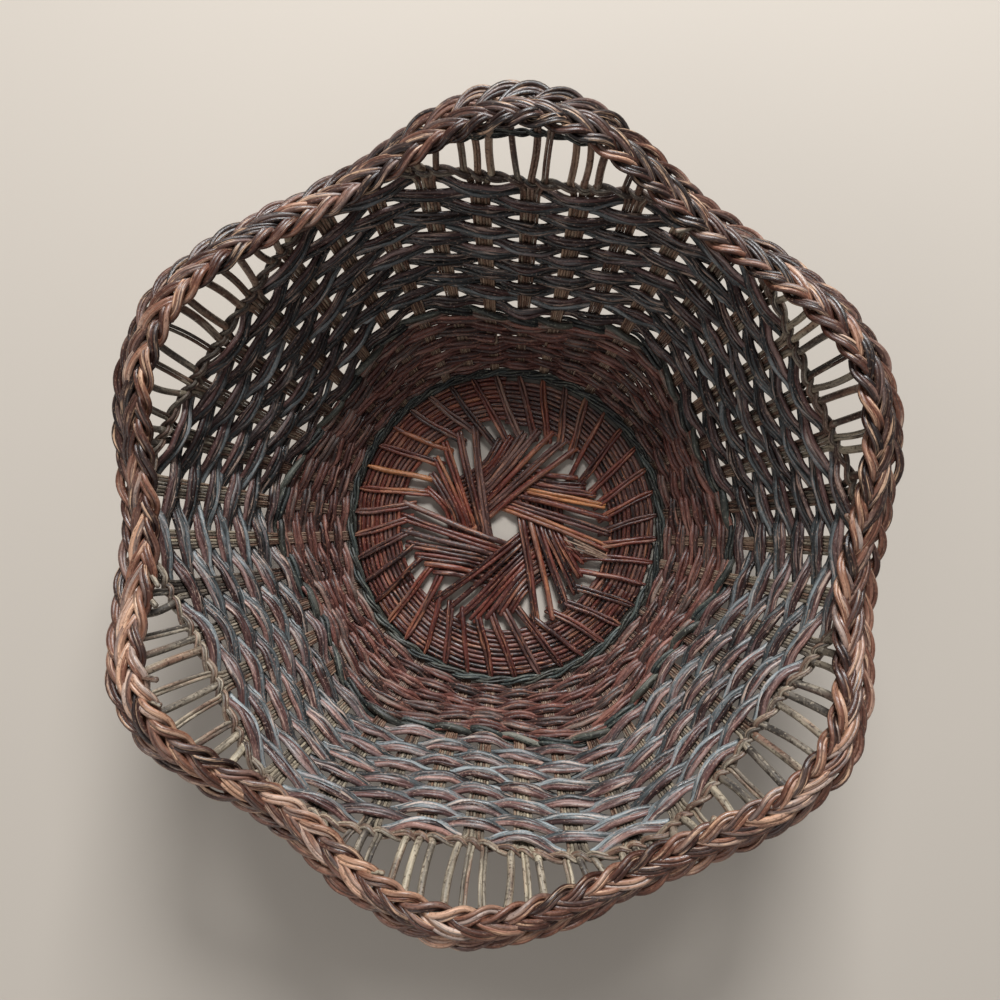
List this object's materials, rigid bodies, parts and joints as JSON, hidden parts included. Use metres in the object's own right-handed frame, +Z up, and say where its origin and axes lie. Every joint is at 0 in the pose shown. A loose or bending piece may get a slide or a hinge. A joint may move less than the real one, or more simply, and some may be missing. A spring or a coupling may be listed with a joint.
{
  "type": "foraging basket",
  "caption": "Shallow flared wicker basket with a woven wall, pinwheel base, openwork top band and six-lobed plaited rim, for gathering mushrooms.",
  "frame": {"origin": "middle of the whole basket's footprint, on the table that the foot ring stands on", "axes": "+Z up out of the basket; +Y towards the lobe at the top of the picture, +X towards the picture's right side"},
  "size_m": [0.3092, 0.3306, 0.1272],
  "materials": {
    "stake_willow": "satin brown and olive rods with the bark on",
    "base_willow": "satin red-brown rods with the bark on",
    "dark_willow": "satin blackish-green rods with the bark on",
    "weaver_willow": "satin red-brown and slate-blue rods with the bark on",
    "border_willow": "satin red-brown rods with the bark on"
  },
  "bodies": {
    "root": {"side_stake_01": "stake_willow", "side_stake_02": "stake_willow", "side_stake_03": "stake_willow", "side_stake_04": "stake_willow", "side_stake_05": "stake_willow", "side_stake_06": "stake_willow", "side_stake_07": "stake_willow", "side_stake_08": "stake_willow", "side_stake_09": "stake_willow", "side_stake_10": "stake_willow", "side_stake_11": "stake_willow", "side_stake_12": "stake_willow", "side_stake_13": "stake_willow", "side_stake_14": "stake_willow", "side_stake_15": "stake_willow", "side_stake_16": "stake_willow", "side_stake_17": "stake_willow", "side_stake_18": "stake_willow", "side_stake_19": "stake_willow", "side_stake_20": "stake_willow", "side_stake_21": "stake_willow", "side_stake_22": "stake_willow", "side_stake_23": "stake_willow", "side_stake_24": "stake_willow", "side_stake_25": "stake_willow", "side_stake_26": "stake_willow", "side_stake_27": "stake_willow", "side_stake_28": "stake_willow", "side_stake_29": "stake_willow", "side_stake_30": "stake_willow", "side_stake_31": "stake_willow", "side_stake_32": "stake_willow", "side_stake_33": "stake_willow", "side_stake_34": "stake_willow", "side_stake_35": "stake_willow", "side_stake_36": "stake_willow", "side_stake_37": "stake_willow", "side_stake_38": "stake_willow", "side_stake_39": "stake_willow", "side_stake_40": "stake_willow", "base_bundle_a": "base_willow", "base_bundle_b": "base_willow", "base_bundle_c": "base_willow", "base_bundle_d": "base_willow", "base_bundle_e": "base_willow", "base_bundle_f": "base_willow", "base_weaver": "base_willow", "foot_ring": "dark_willow", "base_twine": "dark_willow", "waist_wale": "dark_willow", "border_twine": "dark_willow", "fine_weaver": "weaver_willow", "wall_weaver_1": "weaver_willow", "wall_weaver_2": "weaver_willow", "wall_weaver_3": "weaver_willow", "top_twine": "stake_willow", "border_strand_1": "border_willow", "border_strand_2": "border_willow", "border_strand_3": "border_willow"}
  },
  "joints": []
}
